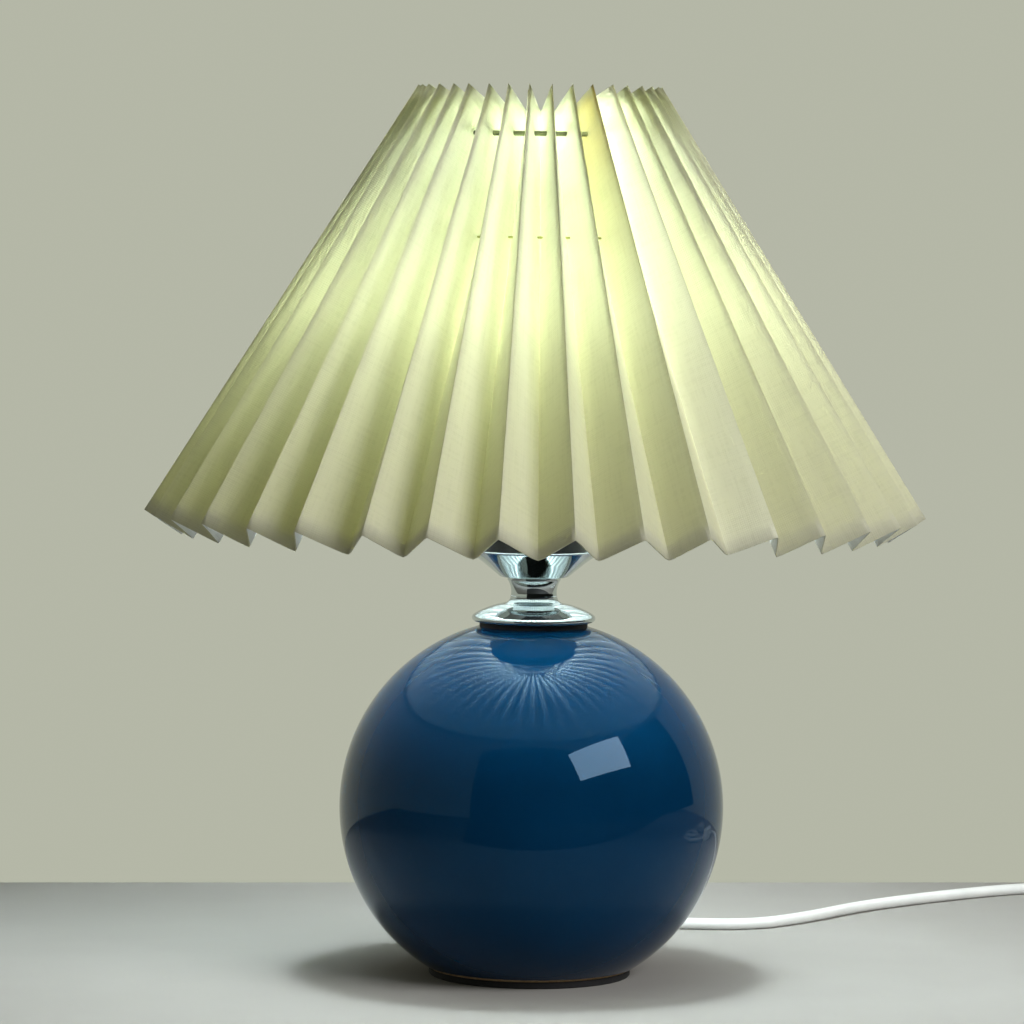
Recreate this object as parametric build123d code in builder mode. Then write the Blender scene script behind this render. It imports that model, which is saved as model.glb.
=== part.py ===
"""A ceramic ball table lamp with a pleated cone shade, made as separate pieces.

Millimetres. The origin is the centre of the foot pad's underside, on the table. +Z is up, the front is -Y,
and the cord leaves the body at the back, +Y.
"""

import math
import os

from build123d import *

os.makedirs("parts", exist_ok=True)

# Clearances: around still pieces, around pieces that slide or turn, and between faces of two bodies
close_fit = 0.1
slip_fit = 0.35
face_gap = 0.1

# Foot pad and ceramic body, a ball whose side is one round arc
pad_thickness = 2.4
pad_chamfer = 0.4
foot_radius = 36.2
foot_height = 1.0
foot_rebate = 1.7
foot_opening_radius = 26.0
foot_floor = 6.0
body_radius = 69.0
body_arc_radius = 67.6
body_wall = 5.0
crown_thickness = 7.0
seat_radius = 19.6

# Neck: gasket, vase cap, spool and cup, stacked on the threaded pipe
pipe_radius = 4.9
pipe_bore_radius = 3.2
gasket_radius = 19.4
gasket_thickness = 2.0
cap_rim_radius = 22.2
cap_rim_height = 2.4
cap_rim_land = 2.6
cap_height = 8.2
cap_collar_radius = 8.6
cap_collar_flare = 1.8
cap_collar_sag = 0.36
cap_dome_rise = 0.6
cap_sheet = 1.2
spool_height = 7.6
spool_foot_radius = 8.4
spool_head_radius = 9.6
spool_waist_depth = 0.6
spool_band = 0.9
cup_floor_radius = 12.1
cup_corner = 1.6
cup_rim_radius = 24.4
cup_height = 10.1
cup_lip_radius = 0.7
cup_sheet = 1.0
cup_rim_land = 1.2
cup_foot_inset = 0.4

# Fastening inside the body
cushion_thickness = 1.5
washer_radius = 14.0
washer_thickness = 2.0
nut_across_flats = 15.0
nut_height = 5.0
pipe_tail = 3.0

# Lamp holder
holder_radius = 19.0
holder_wall = 2.7
holder_cap_foot_radius = 9.5
holder_cap_cone = 8.3
holder_cap_height = 21.8
holder_boss_height = 7.0
core_ledge = 1.5
core_ledge_height = 15.8
core_height = 12.0
sleeve_height = 29.0
sleeve_lip = 3.0
shoulder_radius = 22.5
shoulder_height = 3.0
shell_sheet = 0.5
shell_flange = 3.5
terminal_spacing = 16.0
terminal_screw_radius = 1.3
terminal_head_radius = 2.6
terminal_head_height = 2.2
contact_width = 6.0
contact_sheet = 0.6
contact_rise = 2.6
contact_length = 9.0

# Lamp bulb with a screw cap
bulb_cap_radius = 13.2
bulb_cap_height = 17.0
bulb_cap_sheet = 0.6
bulb_tip_radius = 4.6
bulb_tip_height = 1.8
bulb_tip_round = 1.1
insulator_height = 3.4
housing_height = 35.0
housing_wall = 1.4
housing_flare = 1.2
globe_radius = 30.0
globe_rise = 13.0
globe_wall = 1.2
led_board_thickness = 1.6
driver_width = 17.0
driver_thickness = 1.6
driver_height = 34.0

# Shade frame: fitter ring, three arms and the top ring, all of one wire
fitter_width = 9.2
fitter_thickness = 1.5
wire_radius = 0.9
arm_inset = 1.3
arm_count = 3
arm_angle = 85.0
frame_height = 130.5
ring_below_top = 17.7
ring_outside_valley = 9.3

# Retaining ring that clamps the fitter
shade_ring_height = 9.0
shade_ring_wall = 3.0
shade_ring_flange_width = 5.6
shade_ring_flange_height = 2.4
grip_count = 18
grip_radius = 1.2

# Pleated shade: folds of one strip, with holes for the ring and for a gather thread
pleat_count = 36
shade_top_radius = 44.0
shade_bottom_radius = 140.0
shade_height = 152.1
panel_width = 19.4
shade_sheet = 0.5
hole_play = 0.25
seam_angle = 300.0
seam_rise_top = 0.45
seam_rise_bottom = 0.2
thread_radius = 0.4
thread_below_top = 53.7
thread_outside_valley = 2.5

# Cord, its exit in the back of the body, and the coil of spare length
cord_radius = 2.2
exit_angle = 30.0
grommet_radius = 4.4
grommet_flange_radius = 6.4
grommet_flange = 1.5
grommet_tail = 16.5
grommet_tail_radius = 3.0
grommet_inner = 1.5
cord_first_run = 20.5
cord_link_run = 16.0
bend_share = 0.45
lead_above_pipe = 2.0
conductor_radius = 0.8
conductor_spacing = 2.0
conductor_bend = 1.2
coil_centre = (289.15, 62.0)
coil_radius = 38.95
coil_turn_gap = 0.55
coil_layer_gap = 0.5
coil_half_turns_in = 9
coil_half_turns_out = 5
tie_thickness = 0.7
tie_width = 5.0
tie_gap = 0.2

# Switch in the cord
switch_centre_y = 145.0
switch_length = 58.0
switch_width = 22.0
switch_shoulder = 34.0
switch_nose = 11.0
switch_height = 15.0
switch_wall = 1.8
switch_axis_height = 5.0
switch_corner = 2.0
switch_top_round = 1.4
cord_in_switch = 6.0
window_length = 19.2
window_width = 11.2
rocker_length = 17.4
rocker_width = 10.4
rocker_top = 5.4
rocker_dip = 1.3
rocker_depth = 3.5
rocker_tilt = 7.0
pivot_height = 11.0
pivot_radius = 1.2
pivot_length = 14.0
pivot_rib = 1.6
pivot_rib_width = 5.6
switch_screw_x = 15.0
switch_screw_y = 6.4
switch_screw_radius = 1.2
switch_screw_head = 2.3
switch_screw_head_height = 1.5
switch_screw_length = 10.5
switch_boss_radius = 2.7
blade_sheet = 1.0
blade_width = 5.0
blade_height = 4.4
blade_foot = 4.0
blade_spacing = 12.0

# Two-pin plug
plug_length = 38.0
plug_width = 35.2
plug_back_width = 12.0
plug_thickness = 15.0
plug_face_length = 12.0
plug_edge = 2.0
plug_relief = 22.0
plug_relief_radius = 5.2
pin_radius = 2.0
pin_spacing = 19.0
pin_length = 19.0
pin_in_plug = 6.0
pin_shank_radius = 1.5
pin_round = 1.2

# Heights and radii worked out from the sizes above
foot_top = pad_thickness + foot_height
body_arc_offset = body_radius - body_arc_radius
body_rim_radius = foot_radius + foot_rebate
body_centre = foot_top + math.sqrt(body_arc_radius**2 - (body_rim_radius - body_arc_offset) ** 2)
seat_height = body_centre + math.sqrt(body_arc_radius**2 - (seat_radius - body_arc_offset) ** 2)
ceiling_height = seat_height - crown_thickness
floor_height = pad_thickness + foot_floor
pipe_hole_radius = pipe_radius + close_fit
cap_bottom = seat_height + gasket_thickness
cap_top = cap_bottom + cap_height
spool_top = cap_top + spool_height
cup_floor = spool_top + cup_sheet
holder_bottom = cup_floor
holder_top = holder_bottom + holder_cap_height
pipe_top = holder_bottom + holder_boss_height + close_fit
cushion_bottom = ceiling_height - cushion_thickness
washer_bottom = cushion_bottom - washer_thickness
nut_bottom = washer_bottom - nut_height
pipe_bottom = nut_bottom - pipe_tail
core_bottom = holder_bottom + core_ledge_height
core_top = core_bottom + core_height
holder_bore_radius = holder_radius - holder_wall
core_radius = holder_bore_radius - slip_fit
sleeve_top = holder_top + sleeve_height
shoulder_top = holder_top + shoulder_height
shell_inner_radius = bulb_cap_radius + slip_fit
shell_outer_radius = shell_inner_radius + shell_sheet
shell_top = sleeve_top - sleeve_lip - close_fit
contact_top = core_top + contact_sheet + contact_rise
tip_bottom = contact_top + face_gap
insulator_bottom = tip_bottom + bulb_tip_height
cap_shell_bottom = insulator_bottom + insulator_height
housing_bottom = cap_shell_bottom + bulb_cap_height
globe_bottom = housing_bottom + housing_height
globe_mouth_radius = math.sqrt(globe_radius**2 - globe_rise**2)
fitter_bottom = shoulder_top + face_gap
fitter_top = fitter_bottom + fitter_thickness
fitter_inner_radius = holder_radius + slip_fit
fitter_radius = fitter_inner_radius + fitter_width
ring_height = fitter_top + frame_height
shade_top = ring_height + ring_below_top
shade_bottom = shade_top - shade_height
shade_ring_bottom = fitter_top + face_gap
cord_diameter = 2 * cord_radius


def write(piece, label):
    """Label a finished piece and save it under that name."""
    piece.part.label = label
    export_step(piece.part, f"parts/{label}.step")


def body_radius_at(height, inset=0.0):
    """Radius of the body's side at a height, or of its inner wall at an inset."""
    side = body_arc_radius - inset
    return body_arc_offset + math.sqrt(side**2 - (height - body_centre) ** 2)


def flat_ring(inner, outer, bottom, thickness):
    """A plain flat ring or washer about the lamp's axis."""
    with BuildPart() as ring:
        with BuildSketch(Plane.XY.offset(bottom)):
            Circle(outer)
            Circle(inner, mode=Mode.SUBTRACT)
        extrude(amount=thickness)
    return ring


def wire_ring(radius, height, wire):
    """A closed ring of round wire about the lamp's axis."""
    with BuildPart() as ring:
        with BuildSketch(Plane.XZ):
            with Locations((radius, height)):
                Circle(wire)
        revolve(axis=Axis.Z)
    return ring


def tube_along(path, radius):
    """A round tube swept along a path of straight runs and arcs."""
    with BuildPart() as tube:
        with BuildSketch(Plane(origin=path @ 0, z_dir=path % 0)):
            Circle(radius)
        sweep(path=path)
    return tube


def cord_radii(points):
    """The largest bend at each inner point of a route that its two runs leave room for."""
    radii = []
    for before, here, after in zip(points, points[1:], points[2:]):
        first = Vector(here) - Vector(before)
        second = Vector(after) - Vector(here)
        shorter = min(first.length, second.length)
        half_turn = math.radians(first.get_angle(second)) / 2
        radii.append(bend_share * shorter / math.tan(half_turn))
    return radii


def cord_tube(name, points):
    """A stretch of cord along hand-placed points, with its bends and volume printed."""
    radii = cord_radii(points)
    with BuildLine():
        route = FilletPolyline(*points, radius=radii)
    tube = tube_along(route, cord_radius)
    expected = math.pi * cord_radius**2 * route.length
    print(name, "length", round(route.length, 1), "bends", [round(r) for r in radii])
    print(name, "volume", round(tube.part.volume), "section times length", round(expected))
    return tube


# Foot pad: black foam disc that closes the open foot
with BuildPart() as foot_pad:
    Cylinder(foot_radius, pad_thickness, align=(Align.CENTER, Align.CENTER, Align.MIN))
    chamfer(foot_pad.faces().sort_by(Axis.Z)[0].edges(), pad_chamfer)
write(foot_pad, "foot_pad")

# Cord exit: a hole square to the body's wall, low at the back
exit_out = Vector(0, math.cos(math.radians(exit_angle)), -math.sin(math.radians(exit_angle)))
exit_centre = Vector(0, body_arc_offset, body_centre) + exit_out * body_arc_radius
exit_plane = Plane(origin=exit_centre, x_dir=(1, 0, 0), z_dir=exit_out)

# Ceramic body: hollow glazed ball on an unglazed foot ring, open below, with a pipe hole in its crown
with BuildPart() as ceramic_body:
    with BuildSketch(Plane.XZ):
        with BuildLine():
            Polyline(
                (foot_opening_radius, floor_height),
                (foot_opening_radius, pad_thickness),
                (foot_radius, pad_thickness),
                (foot_radius, foot_top),
                (body_rim_radius, foot_top),
            )
            ThreePointArc((body_rim_radius, foot_top), (body_radius, body_centre), (seat_radius, seat_height))
            Polyline(
                (seat_radius, seat_height),
                (pipe_hole_radius, seat_height),
                (pipe_hole_radius, ceiling_height),
                (body_radius_at(ceiling_height, body_wall), ceiling_height),
            )
            ThreePointArc(
                (body_radius_at(ceiling_height, body_wall), ceiling_height),
                (body_radius - body_wall, body_centre),
                (body_radius_at(floor_height, body_wall), floor_height),
            )
            Line((body_radius_at(floor_height, body_wall), floor_height), (foot_opening_radius, floor_height))
        make_face()
    revolve(axis=Axis.Z)
    with BuildSketch(exit_plane.offset(-2 * body_wall)):
        Circle(grommet_radius + close_fit)
    extrude(amount=3 * body_wall, mode=Mode.SUBTRACT)
write(ceramic_body, "ceramic_body")

# Gasket between the body and the vase cap
neck_gasket = flat_ring(pipe_hole_radius, gasket_radius, seat_height, gasket_thickness)
write(neck_gasket, "neck_gasket")

# Vase cap: spun metal dome with a rolled rim and a short collar
with BuildPart() as vase_cap:
    rim_top = (cap_rim_radius - cap_sheet / 2, cap_bottom + cap_rim_height)
    flare_foot = (cap_collar_radius + cap_collar_flare, cap_top - cap_collar_flare)
    under_collar = (cap_collar_radius, cap_top - cap_collar_flare - cap_sheet)
    under_rim = (cap_rim_radius - cap_rim_land, cap_bottom + cap_sheet)
    with BuildSketch(Plane.XZ):
        with BuildLine():
            Polyline(under_rim, (under_rim[0], cap_bottom), (cap_rim_radius - cap_sheet / 2, cap_bottom))
            ThreePointArc(
                (cap_rim_radius - cap_sheet / 2, cap_bottom),
                (cap_rim_radius, cap_bottom + cap_rim_height / 2),
                rim_top,
            )
            SagittaArc(rim_top, flare_foot, cap_dome_rise)
            SagittaArc(flare_foot, (cap_collar_radius, cap_top), -cap_collar_sag)
            Polyline(
                (cap_collar_radius, cap_top),
                (pipe_hole_radius, cap_top),
                (pipe_hole_radius, under_collar[1]),
                under_collar,
            )
            SagittaArc(under_collar, under_rim, -cap_dome_rise)
        make_face()
    revolve(axis=Axis.Z)
write(vase_cap, "vase_cap")

# Neck spool: turned waist between the vase cap and the cup
with BuildPart() as neck_spool:
    waist_start = (spool_foot_radius, cap_top + spool_band)
    waist_end = (spool_head_radius, spool_top - spool_band)
    with BuildSketch(Plane.XZ):
        with BuildLine():
            Polyline((pipe_hole_radius, cap_top), (spool_foot_radius, cap_top), waist_start)
            SagittaArc(waist_start, waist_end, spool_waist_depth)
            Polyline(
                waist_end,
                (spool_head_radius, spool_top),
                (pipe_hole_radius, spool_top),
                (pipe_hole_radius, cap_top),
            )
        make_face()
    revolve(axis=Axis.Z)
write(neck_spool, "neck_spool")

# Cup: shallow metal cone with a rounded foot and a thin rolled lip
with BuildPart() as socket_cup:
    cup_top = spool_top + cup_height
    with BuildSketch(Plane.XZ):
        with BuildLine():
            Polyline(
                (pipe_hole_radius, spool_top),
                (cup_floor_radius, spool_top),
                (cup_rim_radius, cup_top - cup_lip_radius),
                (cup_rim_radius - cup_rim_land, cup_top - cup_lip_radius),
                (cup_floor_radius - cup_foot_inset, cup_floor),
                (pipe_hole_radius, cup_floor),
                close=True,
            )
        make_face()
    revolve(axis=Axis.Z)
    fillet(socket_cup.edges().group_by(Axis.Z)[0].sort_by(SortBy.RADIUS)[-1], cup_corner)
    with BuildSketch(Plane.XZ):
        with Locations((cup_rim_radius - cup_lip_radius, cup_top - cup_lip_radius)):
            Circle(cup_lip_radius)
    revolve(axis=Axis.Z)
write(socket_cup, "socket_cup")

# Threaded pipe that clamps the neck to the body and carries the lead
threaded_pipe = flat_ring(pipe_bore_radius, pipe_radius, pipe_bottom, pipe_top - pipe_bottom)
write(threaded_pipe, "threaded_pipe")

# Cushion, washer and nut under the crown, inside the body
cushion_washer = flat_ring(pipe_hole_radius, washer_radius, cushion_bottom, cushion_thickness)
write(cushion_washer, "cushion_washer")
pipe_washer = flat_ring(pipe_hole_radius, washer_radius, washer_bottom, washer_thickness)
write(pipe_washer, "pipe_washer")
with BuildPart() as pipe_nut:
    with BuildSketch(Plane.XY.offset(nut_bottom)):
        RegularPolygon(nut_across_flats / 2, 6, major_radius=False)
        Circle(pipe_hole_radius, mode=Mode.SUBTRACT)
    extrude(amount=nut_height)
write(pipe_nut, "pipe_nut")

# Holder cap: moulded bowl that screws on the pipe and sits in the cup
with BuildPart() as holder_cap:
    boss_top = holder_bottom + holder_boss_height
    chamber_radius = holder_bore_radius - core_ledge
    with BuildSketch(Plane.XZ):
        with BuildLine():
            Polyline(
                (pipe_hole_radius, holder_bottom),
                (holder_cap_foot_radius, holder_bottom),
                (holder_radius, holder_bottom + holder_cap_cone),
                (holder_radius, holder_top),
                (holder_bore_radius, holder_top),
                (holder_bore_radius, core_bottom),
                (chamber_radius, core_bottom),
                (chamber_radius, boss_top),
                (pipe_hole_radius, boss_top),
                close=True,
            )
        make_face()
    revolve(axis=Axis.Z)
write(holder_cap, "holder_cap")

# Holder core: insulating block that carries the contacts and the terminals
with BuildPart() as holder_core:
    with BuildSketch(Plane.XY.offset(core_bottom)):
        Circle(core_radius)
        with GridLocations(terminal_spacing, 0, 2, 1):
            Circle(terminal_screw_radius + close_fit, mode=Mode.SUBTRACT)
    extrude(amount=core_height)
write(holder_core, "holder_core")

# Terminal screws in the underside of the core
with BuildPart() as terminal_screws:
    with BuildSketch(Plane.XY.offset(core_bottom)):
        with GridLocations(terminal_spacing, 0, 2, 1):
            Circle(terminal_screw_radius)
    extrude(amount=core_height)
    with BuildSketch(Plane.XY.offset(core_bottom)):
        with GridLocations(terminal_spacing, 0, 2, 1):
            Circle(terminal_head_radius)
    extrude(amount=-terminal_head_height)
write(terminal_screws, "terminal_screws")

# Holder sleeve: threaded outer tube with the shoulder that carries the shade
with BuildPart() as holder_sleeve:
    with BuildSketch(Plane.XZ):
        with BuildLine():
            Polyline(
                (holder_bore_radius, holder_top),
                (shoulder_radius, holder_top),
                (shoulder_radius, shoulder_top),
                (holder_radius, shoulder_top),
                (holder_radius, sleeve_top),
                (shell_inner_radius, sleeve_top),
                (shell_inner_radius, sleeve_top - sleeve_lip),
                (holder_bore_radius, sleeve_top - sleeve_lip),
                close=True,
            )
        make_face()
    revolve(axis=Axis.Z)
write(holder_sleeve, "holder_sleeve")

# Screw shell: thin metal sleeve that takes the bulb's cap
with BuildPart() as screw_shell:
    with BuildSketch(Plane.XZ):
        with BuildLine():
            Polyline(
                (shell_inner_radius - shell_flange, core_top),
                (shell_outer_radius, core_top),
                (shell_outer_radius, shell_top),
                (shell_inner_radius, shell_top),
                (shell_inner_radius, core_top + shell_sheet),
                (shell_inner_radius - shell_flange, core_top + shell_sheet),
                close=True,
            )
        make_face()
    revolve(axis=Axis.Z)
write(screw_shell, "screw_shell")

# Centre contact: sprung tongue under the bulb's tip
with BuildPart() as centre_contact:
    contact_start = -contact_length / 2
    tongue_start = contact_start + contact_length / 3
    with BuildSketch(Plane.XZ):
        with BuildLine():
            Polyline(
                (contact_start, core_top),
                (tongue_start, core_top),
                (tongue_start + contact_rise, core_top + contact_rise),
                (-contact_start, core_top + contact_rise),
                (-contact_start, contact_top),
                (tongue_start + contact_rise - contact_sheet / 2, contact_top),
                (tongue_start - contact_sheet / 2, core_top + contact_sheet),
                (contact_start, core_top + contact_sheet),
                close=True,
            )
        make_face()
    extrude(amount=contact_width / 2, both=True)
write(centre_contact, "centre_contact")

# Bulb tip: the round contact that meets the tongue
with BuildPart() as bulb_tip:
    with BuildSketch(Plane.XY.offset(tip_bottom)):
        Circle(bulb_tip_radius)
    extrude(amount=bulb_tip_height)
    fillet(bulb_tip.faces().sort_by(Axis.Z)[0].edges(), bulb_tip_round)
write(bulb_tip, "bulb_tip")

# Bulb insulator: glass cone between the tip and the screw cap
with BuildPart() as bulb_insulator:
    with BuildSketch(Plane.XY.offset(insulator_bottom)):
        Circle(bulb_tip_radius)
    with BuildSketch(Plane.XY.offset(cap_shell_bottom)):
        Circle(bulb_cap_radius - bulb_cap_sheet)
    loft()
write(bulb_insulator, "bulb_insulator")

# Bulb screw cap, a thin metal can open above
bulb_cap_bore = bulb_cap_radius - bulb_cap_sheet
bulb_cap = flat_ring(bulb_cap_bore, bulb_cap_radius, cap_shell_bottom, bulb_cap_height)
write(bulb_cap, "bulb_cap")

# Driver board standing in the cap and the housing
with BuildPart() as driver_board:
    with BuildSketch(Plane.XY.offset(cap_shell_bottom)):
        Rectangle(driver_width, driver_thickness)
    extrude(amount=driver_height)
write(driver_board, "driver_board")

# Bulb housing: flared plastic body with a ledge for the light board
with BuildPart() as bulb_housing:
    with BuildSketch(Plane.XZ):
        with BuildLine():
            Line((bulb_cap_bore, housing_bottom), (bulb_cap_radius, housing_bottom))
            SagittaArc(
                (bulb_cap_radius, housing_bottom),
                (globe_mouth_radius, globe_bottom),
                housing_flare,
            )
            Line((globe_mouth_radius, globe_bottom), (globe_mouth_radius - housing_wall, globe_bottom))
            SagittaArc(
                (globe_mouth_radius - housing_wall, globe_bottom),
                (bulb_cap_bore, housing_bottom),
                -housing_flare,
            )
        make_face()
    revolve(axis=Axis.Z)
write(bulb_housing, "bulb_housing")

# Light board on top of the housing
led_board_radius = globe_mouth_radius - globe_wall - slip_fit
led_board = flat_ring(driver_thickness, led_board_radius, globe_bottom, led_board_thickness)
write(led_board, "led_board")

# Bulb globe: opal shell, open where it sits on the housing
with BuildPart() as bulb_globe:
    globe_centre = globe_bottom + globe_rise
    globe_bore = globe_radius - globe_wall
    globe_bore_mouth = math.sqrt(globe_bore**2 - globe_rise**2)
    with BuildSketch(Plane.XZ):
        with BuildLine():
            ThreePointArc(
                (globe_mouth_radius, globe_bottom),
                (globe_radius * math.cos(math.pi / 6), globe_centre + globe_radius / 2),
                (0, globe_centre + globe_radius),
            )
            Line((0, globe_centre + globe_radius), (0, globe_centre + globe_bore))
            ThreePointArc(
                (0, globe_centre + globe_bore),
                (globe_bore * math.cos(math.pi / 6), globe_centre + globe_bore / 2),
                (globe_bore_mouth, globe_bottom),
            )
            Line((globe_bore_mouth, globe_bottom), (globe_mouth_radius, globe_bottom))
        make_face()
    revolve(axis=Axis.Z)
write(bulb_globe, "bulb_globe")

# Fold lines of the shade: ridges run straight down its slope, valleys lie square below them
slope = math.atan2(shade_bottom_radius - shade_top_radius, shade_height)
half_pitch = math.pi / pleat_count


def valley_below(ridge_radius, ridge_height):
    """The valley fold's end (radius, height) beside a ridge's end, one panel width away."""
    sag = 1 - math.cos(half_pitch)
    lean = ridge_radius * math.cos(slope) * sag
    depth = lean + math.sqrt(lean**2 - 2 * ridge_radius**2 * sag + panel_width**2)
    return ridge_radius - depth * math.cos(slope), ridge_height - depth * math.sin(slope)


valley_top = valley_below(shade_top_radius, shade_top)
valley_bottom = valley_below(shade_bottom_radius, shade_bottom)


def ridge_radius_at(height):
    """Radius of the ridge folds at a height."""
    return shade_top_radius + (shade_top - height) * math.tan(slope)


def valley_radius_at(height):
    """Radius of the valley folds at a height."""
    fall = (valley_bottom[0] - valley_top[0]) / (valley_top[1] - valley_bottom[1])
    return valley_top[0] + (valley_top[1] - height) * fall


def sheet_inset_at(height):
    """How far the sheet's inner face lies inside its outer face, along the radius."""
    across = ridge_radius_at(height) * math.sin(half_pitch)
    along = ridge_radius_at(height) * math.cos(half_pitch) - valley_radius_at(height)
    return shade_sheet / math.sin(math.atan2(across, along))


def seam_radius_at(height):
    """Radius of the one valley that the sheet's glued ends hold partly open, most at the top."""
    down = (valley_top[1] - height) / (valley_top[1] - valley_bottom[1])
    rise = seam_rise_top + (seam_rise_bottom - seam_rise_top) * down
    return valley_radius_at(height) + rise * (ridge_radius_at(height) - valley_radius_at(height))


def pleat_points(height, inset):
    """The zigzag of folds round the shade at a height, valleys first, on the front and the sides."""
    points = []
    seam_fold = 2 * round(seam_angle * pleat_count / 360)
    for fold in range(2 * pleat_count):
        radius = ridge_radius_at(height) if fold % 2 else valley_radius_at(height)
        if fold == seam_fold:
            radius = seam_radius_at(height)
        angle = fold * half_pitch
        points.append(((radius - inset) * math.cos(angle), (radius - inset) * math.sin(angle)))
    return points


ring_radius = valley_radius_at(ring_height) + ring_outside_valley
thread_height = shade_top - thread_below_top
thread_ring_radius = valley_radius_at(thread_height) + thread_outside_valley

# Fitter ring that lies on the holder's shoulder
fitter_ring = flat_ring(fitter_inner_radius, fitter_radius, fitter_bottom, fitter_thickness)
write(fitter_ring, "fitter_ring")

# Top ring: the wire that runs through every panel of the shade
top_ring = wire_ring(ring_radius, ring_height, wire_radius)
write(top_ring, "top_ring")

# Frame arms from the fitter ring up to the top ring, each in line with a ridge
with BuildPart() as frame_arms:
    foot_reach = fitter_radius - arm_inset
    for arm in range(arm_count):
        turn = arm_angle + arm * 360 / arm_count
        foot = Vector(foot_reach, 0, fitter_top).rotate(Axis.Z, turn)
        head = Vector(ring_radius, 0, ring_height).rotate(Axis.Z, turn)
        start = foot + (foot - head) * (2 * wire_radius / frame_height)
        with BuildSketch(Plane(origin=start, z_dir=head - start)):
            Circle(wire_radius)
        extrude(amount=(head - start).length)
    split(bisect_by=Plane.XY.offset(fitter_top), keep=Keep.TOP)
    with BuildSketch(Plane.XZ):
        with Locations((ring_radius, ring_height)):
            Circle(wire_radius)
    revolve(axis=Axis.Z, mode=Mode.SUBTRACT)
write(frame_arms, "frame_arms")

# Gather thread through the valleys
gather_thread = wire_ring(thread_ring_radius, thread_height, thread_radius)
write(gather_thread, "gather_thread")

# Pleated shade: one folded sheet, its edges cut square to the slope, with holes for the ring and thread
with BuildPart() as pleated_shade:
    above = shade_top + panel_width / 4
    below = valley_bottom[1] - panel_width / 4
    for height in (below, above):
        with BuildSketch(Plane.XY.offset(height)):
            with BuildLine():
                Polyline(*pleat_points(height, 0), close=True)
            make_face()
    loft(ruled=True)
    for height in (below, above):
        with BuildSketch(Plane.XY.offset(height)):
            with BuildLine():
                Polyline(*pleat_points(height, sheet_inset_at(height)), close=True)
            make_face()
    loft(ruled=True, mode=Mode.SUBTRACT)
    reach = 2 * shade_bottom_radius
    drop = math.tan(slope)
    with BuildSketch(Plane.XZ):
        with BuildLine():
            Polyline(
                (0, shade_top - shade_top_radius * drop),
                (reach, shade_top + (reach - shade_top_radius) * drop),
                (0, shade_top + (reach - shade_top_radius) * drop),
                close=True,
            )
        make_face()
    revolve(axis=Axis.Z, mode=Mode.SUBTRACT)
    with BuildSketch(Plane.XZ):
        with BuildLine():
            Polyline(
                (0, shade_bottom - shade_bottom_radius * drop),
                (reach, shade_bottom + (reach - shade_bottom_radius) * drop),
                (reach, shade_bottom - shade_bottom_radius * drop),
                close=True,
            )
        make_face()
    revolve(axis=Axis.Z, mode=Mode.SUBTRACT)
    with BuildSketch(Plane.XZ):
        with Locations((ring_radius, ring_height)):
            Rectangle(2 * (wire_radius + hole_play), 2 * (wire_radius + hole_play))
        with Locations((thread_ring_radius, thread_height)):
            Rectangle(2 * (thread_radius + hole_play), 2 * (thread_radius + hole_play))
    revolve(axis=Axis.Z, mode=Mode.SUBTRACT)
write(pleated_shade, "pleated_shade")

# Retaining ring: moulded nut on the sleeve, with a flange that presses on the fitter and grips round its side
with BuildPart() as shade_ring:
    shade_ring_bore = holder_radius + slip_fit
    with BuildSketch(Plane.XZ):
        with BuildLine():
            Polyline(
                (shade_ring_bore, shade_ring_bottom),
                (shade_ring_bore + shade_ring_flange_width, shade_ring_bottom),
                (shade_ring_bore + shade_ring_flange_width, shade_ring_bottom + shade_ring_flange_height),
                (shade_ring_bore + shade_ring_wall, shade_ring_bottom + shade_ring_flange_height),
                (shade_ring_bore + shade_ring_wall, shade_ring_bottom + shade_ring_height),
                (shade_ring_bore, shade_ring_bottom + shade_ring_height),
                close=True,
            )
        make_face()
    revolve(axis=Axis.Z)
    with BuildSketch(Plane.XY.offset(shade_ring_bottom + shade_ring_flange_height)):
        with PolarLocations(shade_ring_bore + shade_ring_wall + grip_radius / 3, grip_count):
            Circle(grip_radius)
    extrude(amount=shade_ring_height, mode=Mode.SUBTRACT)
write(shade_ring, "shade_ring")

# Cord grommet: flanged bush in the exit hole, moulded on the cord, with a tapered tail
with BuildPart() as cord_grommet:
    with BuildSketch(exit_plane.offset(-body_wall - grommet_inner)):
        Circle(grommet_radius)
    extrude(amount=body_wall + grommet_inner)
    with BuildSketch(exit_plane):
        Circle(grommet_flange_radius)
    extrude(amount=grommet_flange)
    with BuildSketch(exit_plane.offset(grommet_flange)):
        Circle(grommet_radius)
    with BuildSketch(exit_plane.offset(grommet_flange + grommet_tail)):
        Circle(grommet_tail_radius)
    loft()
write(cord_grommet, "cord_grommet")

# Lead inside the body: from the grommet across the hollow and up through the pipe
lead_start = exit_centre - exit_out * (body_wall + grommet_inner)
lead_bend = lead_start - exit_out * (lead_start.Y / exit_out.Y)
lead_end = Vector(0, 0, pipe_top + lead_above_pipe)
lead_points = [lead_start, lead_bend, lead_end]
inner_lead = cord_tube("inner_lead", lead_points)
write(inner_lead, "inner_lead")

# Conductors from the lead's end to the terminal screws
with BuildPart() as conductors:
    wire_end = terminal_spacing / 2 - terminal_head_radius - close_fit
    wire_level = core_bottom - terminal_head_height / 2
    for side in (-1, 1):
        with BuildLine():
            wire_route = FilletPolyline(
                (side * conductor_spacing / 2, 0, lead_end.Z),
                (side * conductor_spacing / 2, 0, wire_level),
                (side * wire_end, 0, wire_level),
                radius=conductor_bend,
            )
        with BuildSketch(Plane(origin=wire_route @ 0, z_dir=wire_route % 0)):
            Circle(conductor_radius)
        sweep(path=wire_route)
write(conductors, "conductors")

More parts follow.
